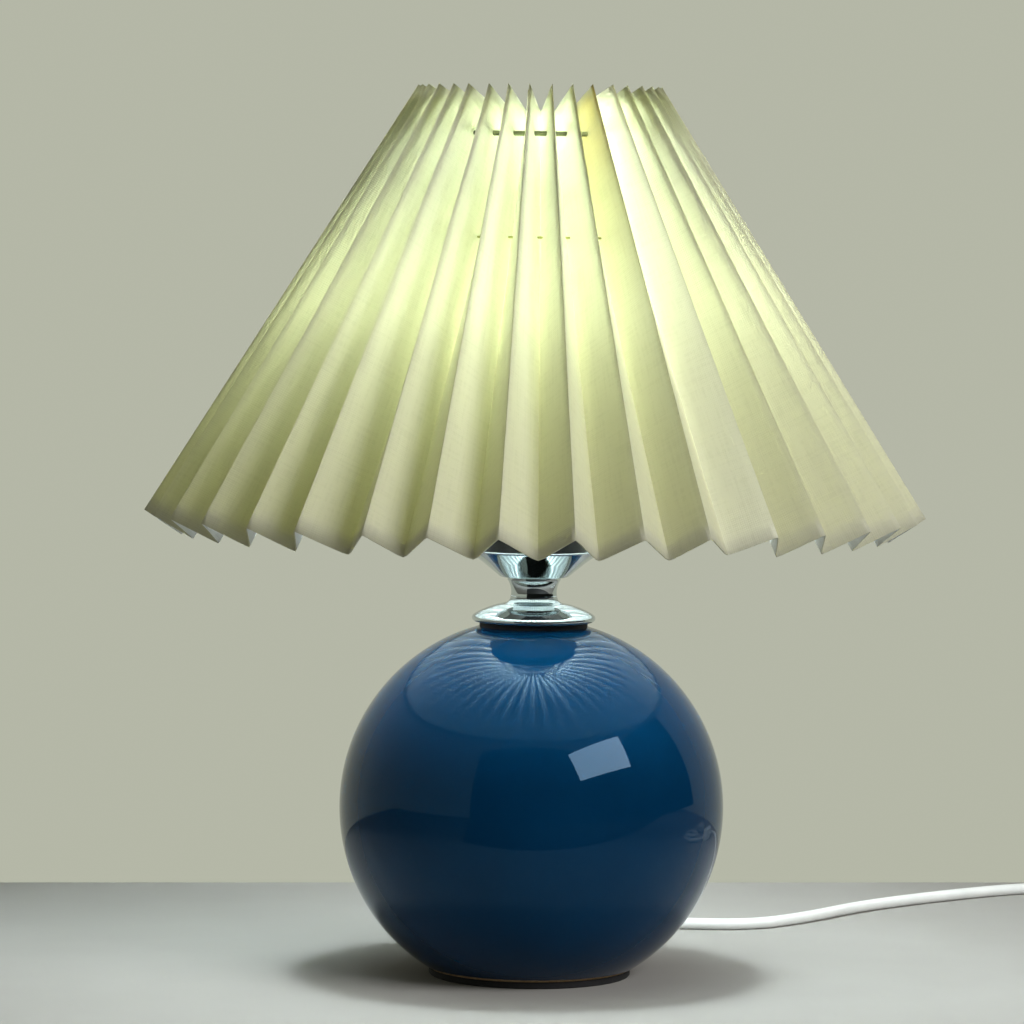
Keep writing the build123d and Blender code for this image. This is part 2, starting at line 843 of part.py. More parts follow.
# Cord on the table, from the grommet to the switch: points placed by hand
switch_x = coil_centre[0] - coil_radius
switch_back = switch_centre_y + switch_length / 2 - cord_in_switch
switch_front = switch_centre_y - switch_length / 2 + cord_in_switch
cord_start = exit_centre + exit_out * (grommet_flange + grommet_tail)
cord_points = [
    tuple(cord_start),
    tuple(cord_start + exit_out * cord_first_run),
    (14, 113, cord_radius),
    (36, 117, cord_radius),
    (60, 110, cord_radius),
    (86, 110, cord_radius),
    (108, 131, cord_radius),
    (131, 163, cord_radius),
    (168, 196, cord_radius),
    (200, 218, cord_radius),
    (222, 222, cord_radius),
    (240.5, 213, cord_radius),
    (switch_x, 191, switch_axis_height),
    (switch_x, switch_back, switch_axis_height),
]
cord_run = cord_tube("cord_run", cord_points)
write(cord_run, "cord_run")

# Coil of spare cord: half turns that spiral in, climb a layer on the innermost one, and spiral out above
turn_pitch = cord_diameter + coil_turn_gap
layer_height = cord_diameter + coil_layer_gap
coil_low = tie_thickness + tie_gap + cord_radius
coil_high = coil_low + layer_height


def coil_point(x, y, height):
    """A point of the coil from its place beside the coil's centre."""
    return Vector(coil_centre[0] + x, coil_centre[1] + y, height)


def half_turn(start, end, height, side):
    """A level half turn between two points of the coil's cross line, bulging to one side."""
    middle = (start + end) / 2
    bulge = side * abs(end - start) / 2
    ThreePointArc(coil_point(start, 0, height), coil_point(middle, bulge, height), coil_point(end, 0, height))


def climbing_half_turn(start, end, side):
    """A half turn of two tilted quarter circles that climbs one layer."""
    middle = (start + end) / 2
    reach_x = (end - start) / 2
    rise = layer_height / 2
    tilted_radius = math.hypot(reach_x, rise)
    share = math.sqrt(0.5)
    crown = coil_point(middle, side * tilted_radius, coil_low + rise)
    ThreePointArc(
        coil_point(start, 0, coil_low),
        coil_point(start + reach_x * (1 - share), side * tilted_radius * share, coil_low + rise * (1 - share)),
        crown,
    )
    ThreePointArc(
        crown,
        coil_point(middle + reach_x * share, side * tilted_radius * share, coil_low + rise * (1 + share)),
        coil_point(end, 0, coil_high),
    )


with BuildLine() as coil_path:
    place = -coil_radius
    Line(coil_point(place, cord_diameter, coil_low), coil_point(place, 0, coil_low))
    for turn in range(coil_half_turns_in):
        after = -place if turn % 2 == 0 else -(place - turn_pitch)
        half_turn(place, after, coil_low, -1 if turn % 2 == 0 else 1)
        place = after
    after = -(place - turn_pitch)
    climbing_half_turn(place, after, 1)
    place = after
    for turn in range(coil_half_turns_out):
        after = -place + 2 * turn_pitch if turn % 2 == 0 else -(place - turn_pitch)
        half_turn(place, after, coil_high, -1 if turn % 2 == 0 else 1)
        place = after
    coil_tail = math.sqrt((coil_radius + cord_diameter) ** 2 - (place - plug_relief_radius) ** 2)
    Line(coil_point(place, 0, coil_high), coil_point(place, coil_tail, coil_high))
coil_line = coil_path.wire()
coil_exit = coil_line @ 1
cord_coil = tube_along(coil_line, cord_radius)
write(cord_coil, "cord_coil")


def least_self_gap(line, diameter, step):
    """The least gap of a tube to itself, measured on points along its centre line."""
    count = math.ceil(line.length / step)
    spots = [line @ (n / count) for n in range(count + 1)]
    apart = math.ceil(3 * diameter / step)
    least = math.inf
    for n, spot in enumerate(spots):
        for other in spots[n + apart :]:
            least = min(least, (spot - other).length)
    return least - diameter


coil_volume = math.pi * cord_radius**2 * coil_line.length
print("cord_coil length", round(coil_line.length, 1), "volume", round(cord_coil.part.volume))
print("cord_coil section times length", round(coil_volume))
print("cord_coil least gap to itself", round(least_self_gap(coil_line, cord_diameter, cord_radius), 3))

# Cord between the switch and the coil
link_points = [
    (switch_x, switch_front, switch_axis_height),
    (switch_x, switch_front - cord_link_run, switch_axis_height),
    (switch_x, coil_centre[1] + cord_diameter + cord_link_run, coil_low),
    (switch_x, coil_centre[1] + cord_diameter, coil_low),
]
cord_link = cord_tube("cord_link", link_points)
write(cord_link, "cord_link")

# Tie: a flat band round the coil's turns
with BuildPart() as coil_tie:
    bundle_inner = coil_radius - (coil_half_turns_in - 1) / 2 * turn_pitch
    bundle_width = coil_radius - bundle_inner + cord_diameter + 2 * tie_gap
    bundle_height = coil_high - coil_low + cord_diameter + 2 * tie_gap
    bundle_middle = (coil_centre[0] + (coil_radius + bundle_inner) / 2, (coil_low + coil_high) / 2)
    with BuildSketch(Plane.XZ.offset(-coil_centre[1])):
        with Locations(bundle_middle):
            RectangleRounded(bundle_width + 2 * tie_thickness, bundle_height + 2 * tie_thickness, cord_radius)
            RectangleRounded(bundle_width, bundle_height, cord_radius / 4, mode=Mode.SUBTRACT)
    extrude(amount=tie_width / 2, both=True)
write(coil_tie, "coil_tie")

# Switch in the cord: two half shells on one outline, the cord entering at both noses
switch_plane = Plane(origin=(switch_x, switch_centre_y, 0), x_dir=(0, -1, 0), z_dir=(0, 0, 1))
switch_bore = cord_radius + close_fit
channel_plane = Plane(
    origin=(switch_x, switch_centre_y + switch_length / 2, switch_axis_height),
    x_dir=(1, 0, 0),
    z_dir=(0, -1, 0),
)
screw_places = [(switch_screw_x, -switch_screw_y), (-switch_screw_x, switch_screw_y)]


def switch_outline(inset):
    """The switch's plan, a long hexagon, or the plan of its hollow at an inset."""
    half_long = switch_length / 2 - inset
    half_wide = switch_width / 2 - inset
    half_nose = switch_nose / 2 - inset
    half_shoulder = switch_shoulder / 2 - inset / 2
    with BuildSketch(mode=Mode.PRIVATE) as outline:
        with BuildLine():
            Polyline(
                (half_long, half_nose),
                (half_shoulder, half_wide),
                (-half_shoulder, half_wide),
                (-half_long, half_nose),
                (-half_long, -half_nose),
                (-half_shoulder, -half_wide),
                (half_shoulder, -half_wide),
                (half_long, -half_nose),
                close=True,
            )
        make_face()
        fillet(outline.vertices(), switch_corner)
    return outline.sketch


with BuildPart() as switch_base:
    with BuildSketch(switch_plane):
        add(switch_outline(0))
    extrude(amount=switch_axis_height)
    chamfer(switch_base.faces().sort_by(Axis.Z)[0].edges(), switch_wall / 3)
    with BuildSketch(switch_plane.offset(switch_wall)):
        add(switch_outline(switch_wall))
        with Locations(*screw_places):
            Circle(switch_boss_radius, mode=Mode.SUBTRACT)
    extrude(amount=switch_height, mode=Mode.SUBTRACT)
    with BuildSketch(channel_plane):
        Circle(switch_bore)
    extrude(amount=switch_length, mode=Mode.SUBTRACT)
    with BuildSketch(switch_plane):
        with Locations(*screw_places):
            Circle(switch_screw_radius + close_fit)
    extrude(amount=switch_height, mode=Mode.SUBTRACT)
    with BuildSketch(switch_plane):
        with Locations(*screw_places):
            Circle(switch_screw_head + close_fit)
    extrude(amount=switch_screw_head_height + close_fit, mode=Mode.SUBTRACT)
write(switch_base, "switch_base")

with BuildPart() as switch_cover:
    with BuildSketch(switch_plane.offset(switch_axis_height)):
        add(switch_outline(0))
    extrude(amount=switch_height - switch_axis_height)
    fillet(switch_cover.faces().sort_by(Axis.Z)[-1].edges(), switch_top_round)
    with BuildSketch(switch_plane.offset(switch_axis_height)):
        add(switch_outline(switch_wall))
        with Locations(*screw_places):
            Circle(switch_boss_radius, mode=Mode.SUBTRACT)
        with Locations(
            (0, window_width / 2 + close_fit + pivot_rib / 2),
            (0, -window_width / 2 - close_fit - pivot_rib / 2),
        ):
            Rectangle(pivot_rib_width, pivot_rib, mode=Mode.SUBTRACT)
    extrude(amount=switch_height - switch_axis_height - switch_wall, mode=Mode.SUBTRACT)
    with BuildSketch(switch_plane.offset(switch_axis_height)):
        Rectangle(window_length, window_width)
    extrude(amount=switch_height, mode=Mode.SUBTRACT)
    with BuildSketch(channel_plane):
        Circle(switch_bore)
    extrude(amount=switch_length, mode=Mode.SUBTRACT)
    with BuildSketch(switch_plane.offset(switch_axis_height)):
        with Locations(*screw_places):
            Circle(switch_screw_radius + close_fit)
    extrude(amount=switch_screw_length - switch_axis_height + close_fit, mode=Mode.SUBTRACT)
    with BuildSketch(Plane(origin=(switch_x, switch_centre_y, pivot_height), z_dir=(1, 0, 0))):
        Circle(pivot_radius + close_fit)
    extrude(amount=pivot_length / 2 + close_fit, both=True, mode=Mode.SUBTRACT)
write(switch_cover, "switch_cover")

# Two screws that hold the half shells together, from below
with BuildPart() as switch_screws:
    with BuildSketch(switch_plane):
        with Locations(*screw_places):
            Circle(switch_screw_head)
    extrude(amount=switch_screw_head_height)
    with BuildSketch(switch_plane):
        with Locations(*screw_places):
            Circle(switch_screw_radius)
    extrude(amount=switch_screw_length)
write(switch_screws, "switch_screws")

# Contact blades that stand on the switch's floor under the rocker
with BuildPart() as switch_blades:
    blade_plane = Plane(origin=(switch_x, switch_centre_y, switch_wall), x_dir=(0, -1, 0), z_dir=(-1, 0, 0))
    with BuildSketch(blade_plane):
        for side in (-1, 1):
            inner = side * blade_spacing / 2
            with BuildLine():
                Polyline(
                    (inner, 0),
                    (inner + side * blade_foot, 0),
                    (inner + side * blade_foot, blade_sheet),
                    (inner + side * blade_sheet, blade_sheet),
                    (inner + side * blade_sheet, blade_height),
                    (inner, blade_height),
                    close=True,
                )
            make_face()
    extrude(amount=blade_width / 2, both=True)
write(switch_blades, "switch_blades")

# Rocker: dished key on a pin, pressed at one end
rocker_plane = Plane(
    origin=(switch_x, switch_centre_y, pivot_height),
    x_dir=(0, -math.cos(math.radians(rocker_tilt)), -math.sin(math.radians(rocker_tilt))),
    z_dir=(-1, 0, 0),
)
with BuildPart() as switch_rocker:
    half_key = rocker_length / 2
    with BuildSketch(rocker_plane):
        with BuildLine():
            ThreePointArc((-half_key, rocker_top), (0, rocker_top - rocker_dip), (half_key, rocker_top))
            Polyline(
                (half_key, rocker_top),
                (half_key, -rocker_depth / 3),
                (half_key / 3, -rocker_depth),
                (-half_key / 3, -rocker_depth),
                (-half_key, -rocker_depth / 3),
                (-half_key, rocker_top),
            )
        make_face()
    extrude(amount=rocker_width / 2, both=True)
    with BuildSketch(rocker_plane):
        Circle(pivot_radius)
    extrude(amount=pivot_length / 2, both=True)
write(switch_rocker, "switch_rocker")

# Plug: flat two-pin body with a tapered relief at the cord's end
plug_front = coil_exit.Y + plug_relief + plug_length
plug_plane = Plane(origin=(coil_exit.X, coil_exit.Y + plug_relief, coil_exit.Z), x_dir=(0, 1, 0), z_dir=(0, 0, 1))
relief_plane = Plane(origin=coil_exit, x_dir=(1, 0, 0), z_dir=(0, 1, 0))
face_plane = Plane(origin=(coil_exit.X, plug_front, coil_exit.Z), x_dir=(1, 0, 0), z_dir=(0, 1, 0))
with BuildPart() as plug_body:
    with BuildSketch(plug_plane):
        with BuildLine():
            Polyline(
                (0, plug_back_width / 2),
                (plug_length - plug_face_length, plug_width / 2),
                (plug_length, plug_width / 2),
                (plug_length, -plug_width / 2),
                (plug_length - plug_face_length, -plug_width / 2),
                (0, -plug_back_width / 2),
                close=True,
            )
        make_face()
    extrude(amount=plug_thickness / 2, both=True)
    fillet(plug_body.edges().filter_by(Axis.Z), plug_edge)
    fillet(plug_body.faces().sort_by(Axis.Z)[-1].edges(), plug_edge)
    fillet(plug_body.faces().sort_by(Axis.Z)[0].edges(), plug_edge)
    with BuildSketch(relief_plane):
        Circle(grommet_tail_radius)
    with BuildSketch(relief_plane.offset(plug_relief)):
        Circle(plug_relief_radius)
    loft()
    with BuildSketch(face_plane):
        with GridLocations(pin_spacing, 0, 2, 1):
            Circle(pin_shank_radius + close_fit)
    extrude(amount=-pin_in_plug, mode=Mode.SUBTRACT)
write(plug_body, "plug_body")

# Plug pins with rounded ends, each on a narrower shank in the plug
with BuildPart() as plug_pins:
    with BuildSketch(face_plane):
        with GridLocations(pin_spacing, 0, 2, 1):
            Circle(pin_radius)
    extrude(amount=pin_length)
    fillet(plug_pins.faces().sort_by(Axis.Y)[-2:].edges(), pin_round)
    with BuildSketch(face_plane):
        with GridLocations(pin_spacing, 0, 2, 1):
            Circle(pin_shank_radius)
    extrude(amount=-pin_in_plug)
write(plug_pins, "plug_pins")

print("height", round(shade_top, 1), "plug face", tuple(round(v, 2) for v in face_plane.origin))
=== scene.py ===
"""Looks for the ceramic table lamp: fine turned pieces, the pleated shade, the cord and the materials."""

import math

import bmesh
import bpy
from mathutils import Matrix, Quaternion, Vector


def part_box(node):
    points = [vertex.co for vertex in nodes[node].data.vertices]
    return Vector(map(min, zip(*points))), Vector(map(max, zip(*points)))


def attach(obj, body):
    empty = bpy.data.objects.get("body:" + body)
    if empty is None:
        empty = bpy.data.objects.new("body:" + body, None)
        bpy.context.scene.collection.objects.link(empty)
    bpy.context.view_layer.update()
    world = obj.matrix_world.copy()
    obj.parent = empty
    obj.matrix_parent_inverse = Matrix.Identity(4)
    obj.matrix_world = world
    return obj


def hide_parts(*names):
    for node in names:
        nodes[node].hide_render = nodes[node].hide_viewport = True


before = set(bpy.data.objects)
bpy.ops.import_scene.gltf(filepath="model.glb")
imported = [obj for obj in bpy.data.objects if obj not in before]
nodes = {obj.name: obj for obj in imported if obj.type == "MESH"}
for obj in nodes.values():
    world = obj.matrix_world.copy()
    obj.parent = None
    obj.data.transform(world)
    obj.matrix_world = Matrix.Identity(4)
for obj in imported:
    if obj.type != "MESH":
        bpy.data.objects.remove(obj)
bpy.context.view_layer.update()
scene = bpy.context.scene
MM = 0.001


def link(obj):
    """Put a new object into the scene."""
    scene.collection.objects.link(obj)
    return obj


# Materials: small helpers for node trees
COLOUR_A, COLOUR_B, COLOUR_OUT = 6, 7, 2  # a Mix node's sockets for colours
NUMBER_A, NUMBER_B, NUMBER_OUT = 2, 3, 0  # and for plain numbers
PLAIN_WHITE = (1.0, 1.0, 1.0)


def new_material(name):
    """A material with its Principled shader, as (material, nodes, links, shader)."""
    made = bpy.data.materials.new(name)
    made.use_nodes = True
    tree = made.node_tree
    return made, tree.nodes, tree.links, tree.nodes["Principled BSDF"]


def object_coords(tree_nodes):
    """The row frame's own coordinates, in metres."""
    return tree_nodes.new("ShaderNodeTexCoord").outputs["Object"]


def feed(links, socket, value):
    """Link a socket to another one, or set it to a plain value."""
    if isinstance(value, bpy.types.NodeSocket):
        links.new(value, socket)
    else:
        socket.default_value = value


def split_vector(tree_nodes, links, vector):
    """A vector's X, Y and Z, by name."""
    node = tree_nodes.new("ShaderNodeSeparateXYZ")
    links.new(vector, node.inputs["Vector"])
    return node.outputs


def noise(tree_nodes, links, vector, scale, detail=3.0, rough=0.55):
    """A noise texture's value on a vector."""
    tex = tree_nodes.new("ShaderNodeTexNoise")
    tex.inputs["Scale"].default_value = scale
    tex.inputs["Detail"].default_value = detail
    tex.inputs["Roughness"].default_value = rough
    links.new(vector, tex.inputs["Vector"])
    return tex.outputs["Fac"]


def ramp(tree_nodes, links, value, places, colours):
    """A colour ramp on a value, with one colour at each place."""
    node = tree_nodes.new("ShaderNodeValToRGB")
    elements = node.color_ramp.elements
    while len(elements) < len(places):
        elements.new(0.5)
    for element, place, colour in zip(elements, places, colours):
        element.position = place
        element.color = (*colour, 1.0)
    links.new(value, node.inputs["Fac"])
    return node.outputs["Color"]


def spread(tree_nodes, links, value, low=0.0, high=1.0, start=0.0, end=1.0):
    """A value from start..end mapped onto low..high."""
    node = tree_nodes.new("ShaderNodeMapRange")
    node.inputs["From Min"].default_value = start
    node.inputs["From Max"].default_value = end
    node.inputs["To Min"].default_value = low
    node.inputs["To Max"].default_value = high
    links.new(value, node.inputs["Value"])
    return node.outputs["Result"]


def calculate(tree_nodes, links, operation, *values):
    """A math node's result; the values are sockets or numbers."""
    node = tree_nodes.new("ShaderNodeMath")
    node.operation = operation
    for socket, value in zip(node.inputs, values):
        feed(links, socket, value)
    return node.outputs["Value"]


def mix_colours(tree_nodes, links, factor, one, other, blend="MIX"):
    """Two colours mixed by a factor; each may be a socket or plain."""
    node = tree_nodes.new("ShaderNodeMix")
    node.data_type = "RGBA"
    node.blend_type = blend
    feed(links, node.inputs["Factor"], factor)
    feed(links, node.inputs[COLOUR_A], one)
    feed(links, node.inputs[COLOUR_B], other)
    return node.outputs[COLOUR_OUT]


def multiply(tree_nodes, links, one, other):
    """The product of two colours."""
    return mix_colours(tree_nodes, links, 1.0, one, other, blend="MULTIPLY")


def bump(tree_nodes, links, shader, height, strength, distance):
    """Bump on a shader from a height value."""
    node = tree_nodes.new("ShaderNodeBump")
    node.inputs["Strength"].default_value = strength
    node.inputs["Distance"].default_value = distance
    links.new(height, node.inputs["Height"])
    links.new(node.outputs["Normal"], shader.inputs["Normal"])


CLOUD_STOPS = (0.3, 0.7)


def mottled(name, dark, light, scale, rough_low, rough_high, metallic=0.0, grain_depth=0.0, grain_scale=0.0):
    """A material whose colour and roughness wander a little, with a fine grain where it has a depth."""
    made, tn, links, shader = new_material(name)
    where = object_coords(tn)
    cloud = noise(tn, links, where, scale)
    links.new(ramp(tn, links, cloud, CLOUD_STOPS, (dark, light)), shader.inputs["Base Color"])
    links.new(spread(tn, links, cloud, rough_low, rough_high), shader.inputs["Roughness"])
    shader.inputs["Metallic"].default_value = metallic
    if grain_depth:
        grain = noise(tn, links, where, grain_scale, detail=2.0)
        bump(tn, links, shader, grain, strength=0.5, distance=grain_depth)
    return made


GLAZE_STOPS, GLAZE_BLUES = (0.25, 0.75), ((0.0006, 0.0195, 0.056), (0.0009, 0.0240, 0.068))
CLAY_TONES = ((0.30, 0.19, 0.10), (0.42, 0.29, 0.17))
GLAZE_END, GLAZE_END_WANDER = (0.0036, 0.0040), 0.0007
CLAY_ROUGHNESS, GLAZE_ROUGHNESS = 0.85, 0.025


def glaze_material():
    """Deep blue gloss glaze that ends just above the foot, where the clay shows."""
    made, tn, links, shader = new_material("blue_glaze")
    where = object_coords(tn)
    blue = ramp(tn, links, noise(tn, links, where, scale=26.0, detail=4.0), GLAZE_STOPS, GLAZE_BLUES)
    clay = ramp(tn, links, noise(tn, links, where, scale=900.0), CLOUD_STOPS, CLAY_TONES)
    wander = noise(tn, links, where, scale=180.0, detail=2.0)
    height = split_vector(tn, links, where)["Z"]
    edge = calculate(tn, links, "MULTIPLY_ADD", wander, GLAZE_END_WANDER, height)
    glazed = spread(tn, links, edge, start=GLAZE_END[0], end=GLAZE_END[1])
    links.new(mix_colours(tn, links, glazed, clay, blue), shader.inputs["Base Color"])
    links.new(spread(tn, links, glazed, CLAY_ROUGHNESS, GLAZE_ROUGHNESS), shader.inputs["Roughness"])
    shader.inputs["IOR"].default_value = 1.5
    shader.inputs["Specular IOR Level"].default_value = 0.24
    shader.inputs["Specular Tint"].default_value = (0.40, 0.66, 0.92, 1.0)
    bump(tn, links, shader, noise(tn, links, where, scale=30.0, detail=1.0), strength=0.05, distance=0.0005)
    return made


WEAVE_SCALE, WEAVE_DISTORTION, WEAVE_DETAIL = 420.0, 1.6, 2.0
SLUB_STRETCHES, SLUB_STOPS = ((900.0, 60.0, 1.0), (60.0, 900.0, 1.0)), (0.40, 0.60)


def weave(tn, links, uv):
    """The cloth's threads, as (fine weave, thick and thin yarn)."""
    waves, slubs = [], []
    for direction in ("X", "Y"):
        wave = tn.new("ShaderNodeTexWave")
        wave.bands_direction = direction
        wave.inputs["Scale"].default_value = WEAVE_SCALE
        wave.inputs["Distortion"].default_value = WEAVE_DISTORTION
        wave.inputs["Detail"].default_value = WEAVE_DETAIL
        links.new(uv, wave.inputs["Vector"])
        waves.append(wave.outputs["Fac"])
    for stretch in SLUB_STRETCHES:
        mapping = tn.new("ShaderNodeMapping")
        mapping.inputs["Scale"].default_value = stretch
        links.new(uv, mapping.inputs["Vector"])
        slubs.append(noise(tn, links, mapping.outputs["Vector"], scale=1.0))
    return calculate(tn, links, "MULTIPLY", *waves), calculate(tn, links, "ADD", *slubs)


# Places across a panel for the painted shade that darkens each outer fold.
PAINTED_SHADE_STOPS = (0.06, 0.4, 0.9)
# These set painted light: how much glow comes through by height down the sheet and by place across a fold,
# and the extra at the top edge.
GLOW_PLACES = (0.11, 0.21, 0.5, 1.0)
THROUGH_STOPS, THROUGH_PARTS = (0.0, 0.5, 0.86, 0.94), (0.0, 0.25, 0.7)
EDGE_SHARE = 0.42
RIM_GAIN, RIM_DEPTH = 2.0, 0.12


def shade_material(name, base, painted_fold_shade, shade_fade_from, glow, through):
    """Linen-faced pleat sheet: woven grain, painted shade deep in the outer folds, part of the light comes
    through.

    base is (dark, light). painted_fold_shade is painted shade, the tone of an outer fold, which fades out
    from shade_fade_from of the way down. glow is the colours that come through at GLOW_PLACES down the sheet,
    set by
    height as painted light: how the bulb's light falls down the sheet, dimmer and yellower towards the
    bottom.
    through is the share of light that comes through an inner fold at the top, beside an outer fold at the
    top, and anywhere at the bottom; EDGE_SHARE comes through at an outer fold itself, and RIM_GAIN times as
    much at the top edge. These shares are painted light too, set by place to carry the glow into the folds
    and onto the tips.
    """
    made, tn, links, shader = new_material(name)
    uv = tn.new("ShaderNodeTexCoord").outputs["UV"]
    flat = split_vector(tn, links, uv)
    fold = calculate(tn, links, "PINGPONG", flat["X"], PANEL * MM)
    across = spread(tn, links, fold, end=PANEL * MM)
    down = spread(tn, links, flat["Y"], end=flat_deep)

    threads, slub = weave(tn, links, uv)
    woven = ramp(tn, links, spread(tn, links, slub, high=0.5), SLUB_STOPS, base)
    # Painted shade: the base colour darkens towards each outer fold, fading out down the sheet.
    middle = tuple((1.0 + 2.0 * tone) / 3.0 for tone in painted_fold_shade)
    painted_fold_tone = ramp(tn, links, across, PAINTED_SHADE_STOPS, (PLAIN_WHITE, middle, painted_fold_shade))
    painted_shade_fade = mix_colours(tn, links, spread(tn, links, down, start=shade_fade_from), painted_fold_tone, (*PLAIN_WHITE, 1.0))
    links.new(multiply(tn, links, woven, painted_shade_fade), shader.inputs["Base Color"])
    shader.inputs["Roughness"].default_value = 0.8
    shader.inputs["Sheen Weight"].default_value = 0.15
    bump(tn, links, shader, calculate(tn, links, "ADD", threads, slub), strength=0.35, distance=0.00012)

    light = tn.new("ShaderNodeBsdfTranslucent")
    tint = ramp(tn, links, down, GLOW_PLACES, glow)
    links.new(multiply(tn, links, woven, tint), light.inputs["Color"])
    inner, outer, low = through
    levels = [inner + (outer - inner) * part for part in THROUGH_PARTS] + [EDGE_SHARE]
    share = tn.new("ShaderNodeMix")
    links.new(down, share.inputs["Factor"])
    passed = ramp(tn, links, across, THROUGH_STOPS, [(level,) * 3 for level in levels])
    links.new(passed, share.inputs[NUMBER_A])
    share.inputs[NUMBER_B].default_value = low
    rim = spread(tn, links, down, RIM_GAIN, 1.0, end=RIM_DEPTH)
    mix = tn.new("ShaderNodeMixShader")
    links.new(calculate(tn, links, "MULTIPLY", share.outputs[NUMBER_OUT], rim), mix.inputs["Fac"])
    links.new(shader.outputs["BSDF"], mix.inputs[1])
    links.new(light.outputs["BSDF"], mix.inputs[2])
    links.new(mix.outputs["Shader"], tn["Material Output"].inputs["Surface"])
    return made


OPAL_TONES, OPAL_GLOW, OPAL_STRENGTH = ((0.86, 0.85, 0.80), (0.90, 0.89, 0.85)), (0.82, 0.98, 1.0), 4.0


def opal_material():
    """Opal diffuser that glows with the bulb's light."""
    made, tn, links, shader = new_material("opal_globe")
    cloud = noise(tn, links, object_coords(tn), scale=40.0)
    links.new(ramp(tn, links, cloud, CLOUD_STOPS, OPAL_TONES), shader.inputs["Base Color"])
    shader.inputs["Roughness"].default_value = 0.35
    shader.inputs["Emission Color"].default_value = (*OPAL_GLOW, 1.0)
    shader.inputs["Emission Strength"].default_value = OPAL_STRENGTH
    return made


GLAZE = glaze_material()
CHROME = mottled("chrome_plate", (0.52, 0.58, 0.60), (0.62, 0.68, 0.70), 60.0, 0.03, 0.06, metallic=1.0)
STEEL = mottled("zinc_steel", (0.42, 0.42, 0.40), (0.55, 0.55, 0.52), 220.0, 0.28, 0.45, metallic=1.0)
BRASS = mottled("brass_metal", (0.55, 0.39, 0.14), (0.68, 0.50, 0.20), 150.0, 0.22, 0.38, metallic=1.0)
NICKEL = mottled("nickel_plate", (0.50, 0.48, 0.44), (0.62, 0.60, 0.56), 140.0, 0.16, 0.28, metallic=1.0)
RUBBER = mottled(
    "black_rubber", (0.004, 0.004, 0.005), (0.008, 0.008, 0.009), 300.0, 0.6, 0.8,
    grain_depth=0.00006, grain_scale=2200.0,
)
FOAM = mottled(
    "black_foam", (0.006, 0.006, 0.007), (0.013, 0.013, 0.014), 400.0, 0.85, 0.95,
    grain_depth=0.00025, grain_scale=1600.0,
)
HOLDER = mottled(
    "black_moulding", (0.012, 0.012, 0.012), (0.020, 0.020, 0.019), 120.0, 0.30, 0.42,
    grain_depth=0.00004, grain_scale=1400.0,
)
PORCELAIN = mottled(
    "porcelain_core", (0.70, 0.68, 0.62), (0.78, 0.76, 0.70), 160.0, 0.45, 0.6,
    grain_depth=0.00004, grain_scale=900.0,
)
WHITE = mottled(
    "white_moulding", (0.70, 0.70, 0.68), (0.76, 0.76, 0.74), 90.0, 0.26, 0.36,
    grain_depth=0.00003, grain_scale=1600.0,
)
SHEATH = mottled(
    "white_sheath", (0.66, 0.67, 0.66), (0.74, 0.74, 0.73), 70.0, 0.42, 0.55,
    grain_depth=0.00005, grain_scale=1100.0,
)
# The frame wire's dark green is partly its own dark colour and partly painted shade: the ring is seen backlit
# against the glowing sheet.
DARK_WIRE_AND_SHADE = mottled(
    "dark_wire_and_painted_shade", (0.20, 0.23, 0.12), (0.26, 0.29, 0.16), 260.0, 0.4, 0.55,
    grain_depth=0.00003, grain_scale=1500.0,
)
THREAD = mottled(
    "twisted_thread", (0.46, 0.47, 0.16), (0.56, 0.57, 0.22), 1500.0, 0.75, 0.9,
    grain_depth=0.0001, grain_scale=2600.0,
)
BOARD = mottled("circuit_board", (0.02, 0.12, 0.05), (0.03, 0.18, 0.07), 300.0, 0.35, 0.5)
WHITE_BOARD = mottled("white_board", (0.75, 0.75, 0.72), (0.82, 0.82, 0.80), 200.0, 0.4, 0.55)
DARK_GLASS = mottled("dark_glass", (0.010, 0.010, 0.014), (0.020, 0.020, 0.026), 90.0, 0.08, 0.16)
OPAL = opal_material()
finishes = {
    "foot_pad": FOAM, "neck_gasket": RUBBER, "cushion_washer": RUBBER, "coil_tie": WHITE,
    "threaded_pipe": STEEL, "pipe_washer": STEEL, "pipe_nut": STEEL, "switch_screws": STEEL,
    "holder_cap": HOLDER, "holder_sleeve": HOLDER, "shade_ring": HOLDER, "holder_core": PORCELAIN,
    "terminal_screws": BRASS, "screw_shell": BRASS, "centre_contact": BRASS, "conductors": BRASS,
    "switch_blades": BRASS, "plug_pins": NICKEL, "bulb_cap": NICKEL, "bulb_tip": NICKEL,
    "cord_grommet": SHEATH, "inner_lead": SHEATH, "switch_base": WHITE, "switch_cover": WHITE,
    "switch_rocker": WHITE, "plug_body": WHITE, "bulb_housing": WHITE, "fitter_ring": DARK_WIRE_AND_SHADE,
    "frame_arms": DARK_WIRE_AND_SHADE, "top_ring": DARK_WIRE_AND_SHADE, "gather_thread": THREAD, "bulb_insulator": DARK_GLASS,
    "driver_board": BOARD, "led_board": WHITE_BOARD,
}
SMOOTH_ANGLE = math.radians(32)


def smooth(mesh):
    """Smooth shading with the corners kept sharp."""
    mesh.shade_smooth()
    mesh.set_sharp_from_angle(angle=SMOOTH_ANGLE)


for name, finish in finishes.items():
    mesh = nodes[name].data
    mesh.materials.clear()
    mesh.materials.append(finish)
    smooth(mesh)


# Turned pieces: a profile of (radius, height) in millimetres, spun about the lamp's axis
ON_AXIS = 1e-6


